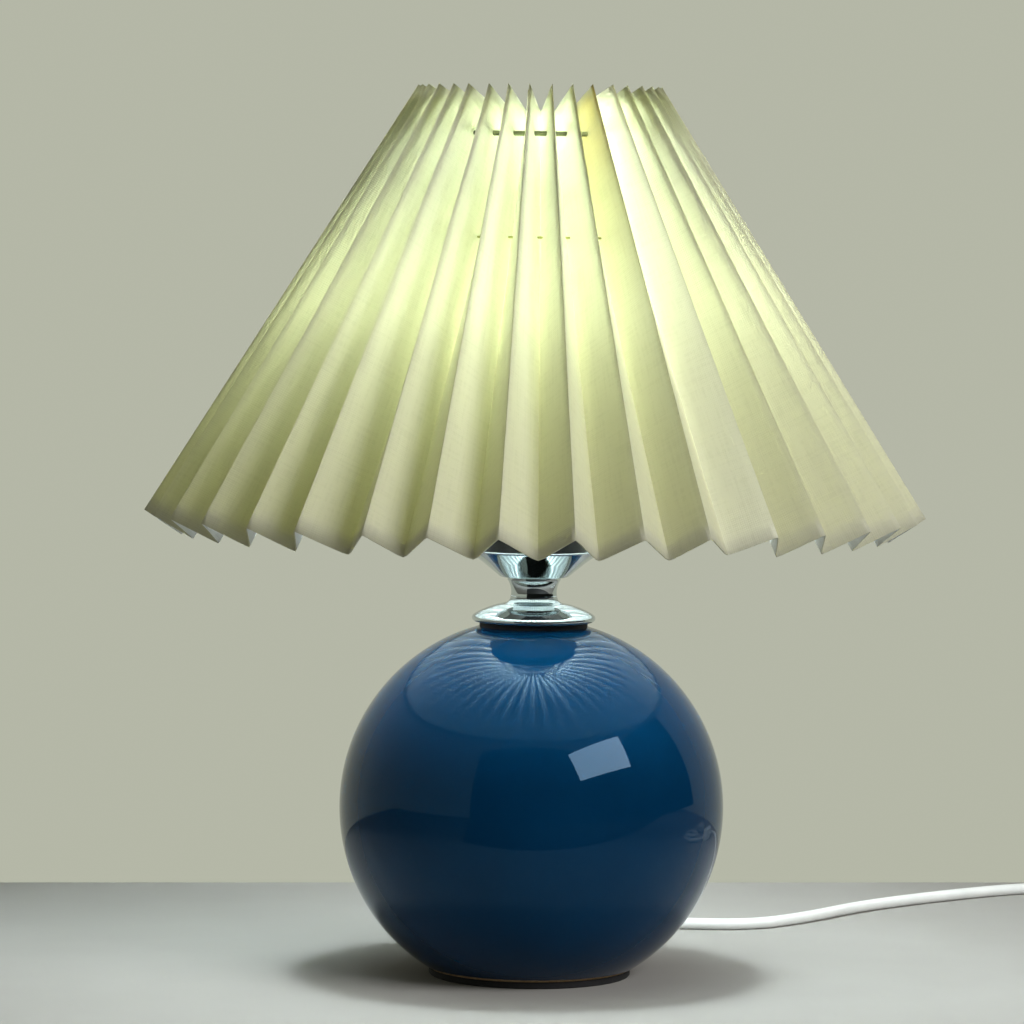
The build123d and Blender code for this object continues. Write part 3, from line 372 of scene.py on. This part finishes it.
def arc_points(start, through, end, count):
    """Points on the arc through three profile points."""
    ax, ay = start
    bx, by = through
    cx, cy = end
    d = 2 * (ax * (by - cy) + bx * (cy - ay) + cx * (ay - by))
    ux = ((ax**2 + ay**2) * (by - cy) + (bx**2 + by**2) * (cy - ay) + (cx**2 + cy**2) * (ay - by)) / d
    uy = ((ax**2 + ay**2) * (cx - bx) + (bx**2 + by**2) * (ax - cx) + (cx**2 + cy**2) * (bx - ax)) / d
    radius = math.hypot(ax - ux, ay - uy)
    first, middle, last = (math.atan2(y - uy, x - ux) for x, y in (start, through, end))
    turn = (last - first) % (2 * math.pi)
    if (middle - first) % (2 * math.pi) > turn:
        turn -= 2 * math.pi
    angles = [first + turn * n / count for n in range(count + 1)]
    return [(ux + radius * math.cos(a), uy + radius * math.sin(a)) for a in angles]


def turned(name, profile, segments, finish, body, node):
    """Spin a closed profile about Z, smooth except at its corners, in place of a CAD node."""
    mesh = bpy.data.meshes.new(name)
    made = bmesh.new()
    rings = []
    for radius, height in profile:
        if radius < ON_AXIS:
            rings.append([made.verts.new((0, 0, height * MM))])
            continue
        ring = []
        for n in range(segments):
            a = 2 * math.pi * n / segments
            ring.append(made.verts.new((radius * MM * math.cos(a), radius * MM * math.sin(a), height * MM)))
        rings.append(ring)
    for lower, upper in zip(rings, rings[1:] + rings[:1]):
        for n in range(segments):
            m = (n + 1) % segments
            corners = [lower[n % len(lower)], lower[m % len(lower)]]
            corners += [upper[m % len(upper)], upper[n % len(upper)]]
            corners = list(dict.fromkeys(corners))
            if len(corners) > 2:
                made.faces.new(corners)
    bmesh.ops.recalc_face_normals(made, faces=made.faces)
    made.to_mesh(mesh)
    made.free()
    mesh.materials.append(finish)
    smooth(mesh)
    piece = link(bpy.data.objects.new(name, mesh))
    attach(piece, body)
    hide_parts(node)
    return piece


def span(node):
    """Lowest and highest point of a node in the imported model, in millimetres."""
    low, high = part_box(node)
    return low.z / MM, high.z / MM


BALL_SEGMENTS, NECK_SEGMENTS, GLOBE_SEGMENTS = 192, 128, 96
BORE = 5.0

body_low, seat = span("ceramic_body")
BALL_RADIUS, BALL_ARC, BALL_WALL, CROWN = 69.0, 67.6, 5.0, 7.0
FOOT_RADIUS, FOOT_REBATE, FOOT_OPENING, FOOT_EASE = 36.2, 1.7, 26.0, 0.3
SEAT_RADIUS = 19.6
foot_top = body_low + 1.0
ball_centre = foot_top + math.sqrt(BALL_ARC**2 - (FOOT_RADIUS + FOOT_REBATE - BALL_RADIUS + BALL_ARC) ** 2)
ball_profile = [(FOOT_OPENING, body_low + 6.0), (FOOT_OPENING, body_low), (FOOT_RADIUS - FOOT_EASE, body_low)]
ball_profile += [(FOOT_RADIUS, body_low + FOOT_EASE), (FOOT_RADIUS + 0.1, foot_top)]
ball_profile += arc_points(
    (FOOT_RADIUS + FOOT_REBATE, foot_top), (BALL_RADIUS, ball_centre), (SEAT_RADIUS, seat), 96
)
ball_profile += [(BORE, seat), (BORE, seat - CROWN), (22.0, seat - CROWN)]
ball_profile += arc_points(
    (25.0, seat - 8.0), (BALL_RADIUS - BALL_WALL, ball_centre), (34.0, body_low + 7.5), 48
)
turned("glazed_ball", ball_profile, BALL_SEGMENTS, GLAZE, "base", "ceramic_body")

cap_low, cap_high = span("vase_cap")
cap_profile = [(19.6, cap_low + 1.2), (19.6, cap_low), (21.4, cap_low)]
cap_profile += arc_points((21.6, cap_low), (22.2, cap_low + 1.2), (21.5, cap_low + 2.3), 10)
cap_profile += arc_points((21.3, cap_low + 2.5), (15.4, cap_low + 5.2), (10.4, cap_high - 1.8), 24)
cap_profile += arc_points((10.3, cap_high - 1.75), (9.1, cap_high - 1.1), (8.6, cap_high), 10)
cap_profile += [(BORE, cap_high), (BORE, cap_high - 3.0), (8.6, cap_high - 3.0)]
turned("vase_cap_dome", cap_profile, NECK_SEGMENTS, CHROME, "base", "vase_cap")

spool_low, spool_high = span("neck_spool")
spool_profile = [(BORE, spool_low), (8.4, spool_low), (8.45, spool_low + 0.3), (8.4, spool_low + 0.9)]
spool_profile += arc_points((8.3, spool_low + 1.0), (8.4, spool_low + 3.8), (9.5, spool_high - 1.1), 20)
spool_profile += [(9.6, spool_high - 0.9), (9.6, spool_high - 0.15), (9.45, spool_high), (BORE, spool_high)]
turned("waisted_spool", spool_profile, NECK_SEGMENTS, CHROME, "base", "neck_spool")

cup_low, cup_high = span("socket_cup")
cup_profile = [(BORE, cup_low)]
cup_profile += arc_points((11.4, cup_low), (12.3, cup_low + 0.2), (13.0, cup_low + 0.75), 8)
cup_profile += [(18.5, cup_low + 5.2), (23.9, cup_high - 1.0)]
cup_profile += arc_points((24.3, cup_high - 0.7), (24.3, cup_high - 0.2), (23.9, cup_high), 6)
cup_profile += [(23.3, cup_high - 0.3), (23.0, cup_high - 0.8), (12.0, cup_low + 1.0), (BORE, cup_low + 1.0)]
turned("flared_cup", cup_profile, NECK_SEGMENTS, CHROME, "base", "socket_cup")

globe_low, globe_high = span("bulb_globe")
GLOBE_RADIUS, GLOBE_WALL = 30.0, 1.2
globe_mid = globe_high - GLOBE_RADIUS
globe_mouth = math.sqrt(GLOBE_RADIUS**2 - (globe_mid - globe_low) ** 2)
inner_mouth = math.sqrt((GLOBE_RADIUS - GLOBE_WALL) ** 2 - (globe_mid - globe_low) ** 2)
globe_profile = arc_points((globe_mouth, globe_low), (GLOBE_RADIUS, globe_mid), (0.0, globe_high), 40)
globe_profile += arc_points(
    (0.0, globe_high - GLOBE_WALL), (GLOBE_RADIUS - GLOBE_WALL, globe_mid), (inner_mouth, globe_low), 40
)
dome = turned("opal_dome", globe_profile, GLOBE_SEGMENTS, OPAL, "bulb", "bulb_globe")
dome.visible_shadow = False  # lets the light inside it out

# Pleated shade: fold lines as in the solids, crisp folds a little rounded, one pleat pulled open at the seam
PLEATS = 36
TOP_RADIUS, BOTTOM_RADIUS, PANEL, SHEET = 44.0, 140.0, 19.4, 0.5
SHADE_HEIGHT = 152.1
FRONT = -math.pi / 2
shade_top = span("pleated_shade")[1]
shade_bottom = shade_top - SHADE_HEIGHT
slope = math.atan2(BOTTOM_RADIUS - TOP_RADIUS, SHADE_HEIGHT)
half_pitch = math.pi / PLEATS
flat_deep = math.hypot(BOTTOM_RADIUS - TOP_RADIUS, SHADE_HEIGHT) * MM
LINEN = ((0.74, 0.735, 0.58), (0.82, 0.815, 0.665))
WHITE_FACE = ((0.84, 0.86, 0.86), (0.90, 0.92, 0.92))
# Glow colours by height down the sheet, painted light: bright near the bulb, dimmer and yellower towards the
# bottom.
LINEN_GLOW = ((0.80, 0.785, 0.62), (0.56, 0.545, 0.41), (0.80, 0.765, 0.51), (0.42, 0.38, 0.075))
SEAM_GLOW = ((0.88, 0.84, 0.69), (0.69, 0.66, 0.52), (0.80, 0.77, 0.55), (0.66, 0.62, 0.36))
FLAP_GLOW = ((0.50, 0.36, 0.04), (0.50, 0.46, 0.20), (0.80, 0.765, 0.51), (0.42, 0.38, 0.075))
LINING_GLOW = ((1.0, 1.0, 0.97), (1.0, 1.0, 0.97), (1.0, 1.0, 0.96), (1.0, 1.0, 0.95))
# The third argument paints shade into the outer folds: faint on the linen, deep on the lining's upper part.
SHADE = shade_material("pleat_linen", LINEN, (0.94, 0.94, 0.92), 0.0, LINEN_GLOW, (0.10, 0.62, 0.40))
SEAM = shade_material("seam_overlap", LINEN, PLAIN_WHITE, 0.0, SEAM_GLOW, (0.20, 0.30, 0.20))
FLAP = shade_material("seam_flap", LINEN, PLAIN_WHITE, 0.0, FLAP_GLOW, (0.06, 0.13, 0.40))
LINING = shade_material("white_lining", WHITE_FACE, (0.14, 0.15, 0.17), 0.6, LINING_GLOW, (0.36, 0.85, 0.34))


def valley_end(radius, height):
    """The valley fold's end beside a ridge's end."""
    sag = 1 - math.cos(half_pitch)
    lean = radius * math.cos(slope) * sag
    depth = lean + math.sqrt(lean**2 - 2 * radius**2 * sag + PANEL**2)
    return radius - depth * math.cos(slope), height - depth * math.sin(slope)


ridge_ends = ((TOP_RADIUS, shade_top), (BOTTOM_RADIUS, shade_bottom))
valley_ends = (valley_end(*ridge_ends[0]), valley_end(*ridge_ends[1]))
SEAM_FOLD, SEAM_RISE = 6, (0.45, 0.2)
FOLD_WANDER, WANDER_STEP, WANDER_START = 0.11, 1.9, 0.6


def fold_point(fold, along):
    """A point of a fold line, along from the top to the bottom: even folds are valleys, odd ones ridges."""
    top, bottom = ridge_ends if fold % 2 else valley_ends
    radius = top[0] + (bottom[0] - top[0]) * along
    height = top[1] + (bottom[1] - top[1]) * along
    if fold == SEAM_FOLD:
        rise = SEAM_RISE[0] + (SEAM_RISE[1] - SEAM_RISE[0]) * along
        ridge_radius = TOP_RADIUS + (BOTTOM_RADIUS - TOP_RADIUS) * along
        ridge_height = shade_top - SHADE_HEIGHT * along
        radius += rise * (ridge_radius - radius)
        height += rise * (ridge_height - height)
    wander = FOLD_WANDER * math.sin(WANDER_STEP * (fold % (2 * PLEATS)) + WANDER_START)
    angle = FRONT + (fold + wander) * half_pitch
    return Vector((radius * math.cos(angle), radius * math.sin(angle), height)) * MM


ACROSS, DOWN = 8, 28
FOLD_ROUND = 0.035
FACES = (SHADE, LINING, SEAM, LINING, FLAP, LINING)  # each outer face is followed by its inner one
FACE_OF_FOLD = {SEAM_FOLD: FACES.index(SEAM), SEAM_FOLD - 2: FACES.index(FLAP)}


def make_shade():
    """The folded sheet as one closed skin: an outer and an inner face joined at the edges."""
    mesh = bpy.data.meshes.new("pleated_linen")
    made = bmesh.new()
    uv = made.loops.layers.uv.new("sheet")
    columns = [(fold, step / ACROSS) for fold in range(2 * PLEATS) for step in range(ACROSS)]
    grid = []
    for fold, share in columns:
        line = []
        for n in range(DOWN + 1):
            along = n / DOWN
            here = fold_point(fold, along)
            there = fold_point(fold + 1, along)
            if share == 0.0:
                before = fold_point(fold - 1, along)
                spot = here + ((there + before) / 2 - here) * FOLD_ROUND
            else:
                spot = here + (there - here) * share
            line.append(made.verts.new(spot))
        grid.append(line)
    for c, (fold, share) in enumerate(columns):
        d = (c + 1) % len(columns)
        left = (fold + share) * PANEL * MM
        right = left + PANEL * MM / ACROSS
        for n in range(DOWN):
            face = made.faces.new((grid[c][n], grid[c][n + 1], grid[d][n + 1], grid[d][n]))
            face.material_index = FACE_OF_FOLD.get(fold, 0)
            marks = ((left, n), (left, n + 1), (right, n + 1), (right, n))
            for loop, (u, v) in zip(face.loops, marks):
                loop[uv].uv = (u, flat_deep * v / DOWN)
    made.to_mesh(mesh)
    made.free()
    for finish in FACES:
        mesh.materials.append(finish)
    smooth(mesh)
    piece = link(bpy.data.objects.new("pleated_linen", mesh))
    skin = piece.modifiers.new("skin", "SOLIDIFY")
    skin.thickness = SHEET * MM
    skin.offset = -1.0
    skin.material_offset = 1
    return piece


shade = make_shade()
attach(shade, "shade")
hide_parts("pleated_shade")

# Cord: one smooth line from the grommet through the switch to the coil and the plug, in millimetres
CORD_RADIUS = 2.2
EXIT_FALL, EXIT_RUN = math.radians(30), 20.5
COIL_X, COIL_Y, COIL_RADIUS = 289.15, 62.0, 38.95
TURN_PITCH, COIL_LOW, COIL_HIGH, COIL_TAIL = 4.95, 3.1, 8.0, 32.4
LOW_HALF_TURNS, HIGH_HALF_TURNS = 9, 5
SWITCH_X, SWITCH_HEIGHT = COIL_X - COIL_RADIUS, 5.0
TABLE_RUN = (
    (14, 113), (36, 117), (60, 110), (86, 110), (108, 131), (131, 163), (168, 196), (200, 218), (222, 222),
    (240.5, 213),
)
exit_tip = Vector((0.0, 75.532, 17.499))
exit_way = Vector((0.0, math.cos(EXIT_FALL), -math.sin(EXIT_FALL)))
route = [tuple(exit_tip), tuple(exit_tip + exit_way * EXIT_RUN)]
route += [(x, y, CORD_RADIUS) for x, y in TABLE_RUN]
route += [(SWITCH_X, y, SWITCH_HEIGHT) for y in (191, 168, 122, 106)]
route.append((SWITCH_X, 82.4, COIL_LOW))
STEPS = 8
REACH = 1 / math.cos(math.pi / (2 * STEPS))


def half_turn(start, end, side, low, high):
    """Control points of a half turn of the coil between two places on its cross line."""
    points = []
    middle, reach = (start + end) / 2, (start - end) / 2
    for n in range(STEPS):
        share = (n + 0.5) / STEPS
        a = math.pi * share
        x = COIL_X + middle + reach * math.cos(a) * REACH
        y = COIL_Y + side * abs(reach) * math.sin(a) * REACH
        points.append((x, y, low + (high - low) * share))
    return points


place = -COIL_RADIUS
for turn in range(LOW_HALF_TURNS):
    after = -place if turn % 2 == 0 else -(place - TURN_PITCH)
    route += half_turn(place, after, -1 if turn % 2 == 0 else 1, COIL_LOW, COIL_LOW)
    place = after
after = -(place - TURN_PITCH)
route += half_turn(place, after, 1, COIL_LOW, COIL_HIGH)
place = after
for turn in range(HIGH_HALF_TURNS):
    after = -place + 2 * TURN_PITCH if turn % 2 == 0 else -(place - TURN_PITCH)
    route += half_turn(place, after, -1 if turn % 2 == 0 else 1, COIL_HIGH, COIL_HIGH)
    place = after
route += [(COIL_X + place, COIL_Y + 9, COIL_HIGH), (COIL_X + place, COIL_Y + COIL_TAIL, COIL_HIGH)]

curve = bpy.data.curves.new("white_cord", "CURVE")
curve.dimensions = "3D"
spline = curve.splines.new("NURBS")
spline.points.add(len(route) - 1)
for point, (x, y, z) in zip(spline.points, route):
    point.co = (x * MM, y * MM, z * MM, 1.0)
spline.order_u = 3
spline.use_endpoint_u = True
spline.resolution_u = 6
curve.bevel_depth = CORD_RADIUS * MM
curve.bevel_resolution = 6
curve.use_fill_caps = True
curve.materials.append(SHEATH)
cord = link(bpy.data.objects.new("white_cord", curve))
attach(cord, "base")
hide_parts("cord_run", "cord_link", "cord_coil")

# Stage: a table top whose back edge lies just behind the cord, and three dark screens only reflections see
TABLE_BACK, TABLE_SKEW, TABLE_REACH = 0.233, 0.087, 4.0
SCREEN_NEAR, SCREEN_FAR, SCREEN_SIDE, SCREEN_END, SCREEN_HIGH = -0.22, -2.6, 3.0, 1.2, 2.5
SCREEN_LEFT = math.tan(math.radians(36.4))
RUG_HEIGHT = 0.002


def sheet_of(name, corners, finish):
    """One flat stage sheet through four corners."""
    mesh = bpy.data.meshes.new(name)
    made = bmesh.new()
    made.faces.new([made.verts.new(corner) for corner in corners])
    made.to_mesh(mesh)
    made.free()
    mesh.materials.append(finish)
    obj = link(bpy.data.objects.new(name, mesh))
    return obj


def standing(start, end):
    """Corners of an upright screen between two places on the floor."""
    return [(*start, 0), (*end, 0), (*end, SCREEN_HIGH), (*start, SCREEN_HIGH)]


table = mottled("table_paint", (0.325, 0.312, 0.297), (0.355, 0.342, 0.327), 8.0, 0.8, 0.9)
table.node_tree.nodes["Principled BSDF"].inputs["Specular IOR Level"].default_value = 0.0
left, right, front = -TABLE_REACH, TABLE_REACH, -TABLE_REACH
back_left, back_right = TABLE_BACK + left * TABLE_SKEW, TABLE_BACK + right * TABLE_SKEW
table_corners = [(left, front, 0), (right, front, 0), (right, back_right, 0), (left, back_left, 0)]
sheet_of("table_top", table_corners, table)
dark = mottled("dark_screen", (0.010, 0.011, 0.013), (0.014, 0.015, 0.017), 2.0, 0.8, 0.9)
near_left, far_left = (SCREEN_NEAR * SCREEN_LEFT, SCREEN_NEAR), (SCREEN_FAR * SCREEN_LEFT, SCREEN_FAR)
near_right, far_right = (SCREEN_SIDE, SCREEN_NEAR), (SCREEN_SIDE, SCREEN_FAR)
side_end = (SCREEN_SIDE, SCREEN_END)
rug_corners = [(*spot, RUG_HEIGHT) for spot in (near_left, near_right, far_right, far_left)]
screens = [
    sheet_of("dark_rug", rug_corners, dark),
    sheet_of("dark_screen_front", standing(far_left, far_right), dark),
    sheet_of("dark_screen_side", standing(far_right, side_end), dark),
]
for screen in screens:
    screen.visible_camera = False
    screen.visible_diffuse = False
    screen.visible_transmission = False
    screen.visible_shadow = False

# Light: a window-like panel at the right, the bulb's light inside the shade, and a pale room
WINDOW_WAY, WINDOW_AWAY = Vector((0.672, -0.620, 0.58)), 1.6
WINDOW_WIDTH, WINDOW_HEIGHT, WINDOW_POWER, WINDOW_ROLL = 1.05, 0.52, 22.0, math.radians(5)
BULB_RAISED, BULB_SIZE, BULB_POWER, BULB_COLOUR = 0.018, 0.036, 7.2, (0.86, 0.98, 1.0)
BACKDROP, AMBIENT = (0.46, 0.475, 0.385), (0.158, 0.162, 0.130)
FRONT_LEVEL, BACK_LEVEL = 1.05, 2.2


def window_light(aim):
    """A rectangular area lamp turned to a point."""
    data = bpy.data.lights.new("window", "AREA")
    data.shape = "RECTANGLE"
    data.size, data.size_y = WINDOW_WIDTH, WINDOW_HEIGHT
    data.energy = WINDOW_POWER
    lamp = link(bpy.data.objects.new("window", data))
    lamp.location = aim + WINDOW_WAY * WINDOW_AWAY
    turn = (aim - lamp.location).to_track_quat("-Z", "Y")
    lamp.rotation_mode = "QUATERNION"
    lamp.rotation_quaternion = turn @ Quaternion((0, 0, 1), WINDOW_ROLL)


def bulb_light(height):
    """Round lamp on the axis inside the shade, which stands for the globe's light and isn't seen itself."""
    data = bpy.data.lights.new("bulb_light", "POINT")
    data.shadow_soft_size = BULB_SIZE
    data.energy = BULB_POWER
    data.color = BULB_COLOUR
    lamp = link(bpy.data.objects.new("bulb_light", data))
    lamp.location = (0.0, 0.0, height)
    lamp.visible_camera = False
    lamp.visible_glossy = False


def pale_room():
    """A world with a pale backdrop for the eye, gloss and glass, and soft light, stronger from behind."""
    world = bpy.data.worlds.new("room")
    scene.world = world
    world.use_nodes = True
    tn, links = world.node_tree.nodes, world.node_tree.links
    path = tn.new("ShaderNodeLightPath").outputs
    either = calculate(tn, links, "MAXIMUM", path["Is Camera Ray"], path["Is Glossy Ray"])
    seen = calculate(tn, links, "MAXIMUM", either, path["Is Transmission Ray"])
    light = tn.new("ShaderNodeBackground")
    light.inputs["Color"].default_value = (*AMBIENT, 1.0)
    way = split_vector(tn, links, tn.new("ShaderNodeTexCoord").outputs["Generated"])
    links.new(spread(tn, links, way["Y"], FRONT_LEVEL, BACK_LEVEL, start=-1.0), light.inputs["Strength"])
    wall = tn["Background"]
    wall.inputs["Color"].default_value = (*BACKDROP, 1.0)
    mix = tn.new("ShaderNodeMixShader")
    links.new(seen, mix.inputs["Fac"])
    links.new(light.outputs["Background"], mix.inputs[1])
    links.new(wall.outputs["Background"], mix.inputs[2])
    links.new(mix.outputs["Shader"], tn["World Output"].inputs["Surface"])


window_light(Vector((0.0, 0.0, 0.06)))
bulb_light(globe_mid * MM + BULB_RAISED)
pale_room()
scene.view_settings.view_transform = "Standard"

# Camera: a long lens level with the shade, looking a little down; places in the picture are in pixels
PIXELS, FOCAL, HORIZON, AXIS_PIXEL = 1024.0, 4898.0, 194.0, 535.0
DISTANCE, EYE_HEIGHT, ROLL = 1.75, 0.280, math.radians(0.7)
SENSOR = 36.0
camera_data = bpy.data.cameras.new("camera")
camera_data.sensor_width = SENSOR
camera_data.lens = FOCAL * SENSOR / PIXELS
camera = link(bpy.data.objects.new("camera", camera_data))
camera.location = (-(AXIS_PIXEL - PIXELS / 2) * DISTANCE / FOCAL, -DISTANCE, EYE_HEIGHT)
pitch = math.atan((PIXELS / 2 - HORIZON) / FOCAL)
camera.rotation_mode = "QUATERNION"
camera.rotation_quaternion = Quaternion((1, 0, 0), math.pi / 2 - pitch) @ Quaternion((0, 0, 1), ROLL)
scene.camera = camera
